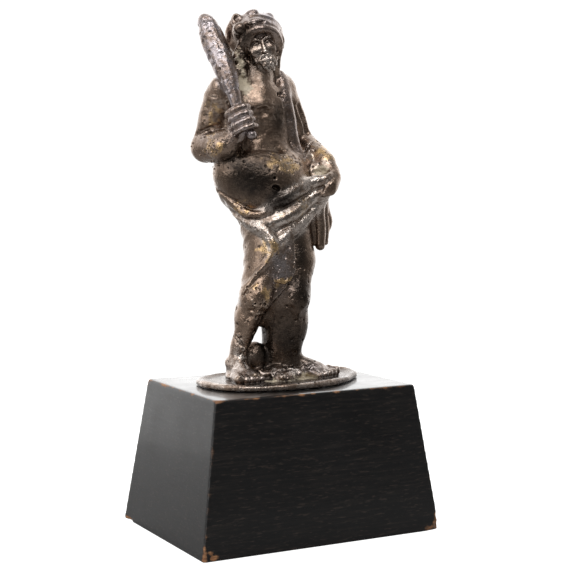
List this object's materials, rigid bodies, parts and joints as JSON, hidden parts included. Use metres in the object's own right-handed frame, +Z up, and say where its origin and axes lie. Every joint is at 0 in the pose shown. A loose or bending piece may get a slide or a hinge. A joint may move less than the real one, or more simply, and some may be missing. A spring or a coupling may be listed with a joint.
{
  "type": "bronze hercules statuette",
  "caption": "Small bronze statuette of a bearded club-bearer in a lion-skin hood and draped mantle, standing on a tapered black wooden plinth.",
  "frame": {"origin": "centre of the plinth's underside, on the surface that the statuette stands on", "axes": "+Z up; the figure faces -Y; its right hand with the club is on the -X side"},
  "size_m": [0.0748, 0.0558, 0.1493],
  "materials": {
    "bronze": "dark brown patinated cast bronze, rubbed golden on the high places, pitted",
    "black_wood": "ebonised wood, satin, edges worn to brown"
  },
  "bodies": {
    "root": {"bronze_figure": "bronze", "wooden_plinth": "black_wood"}
  },
  "joints": []
}
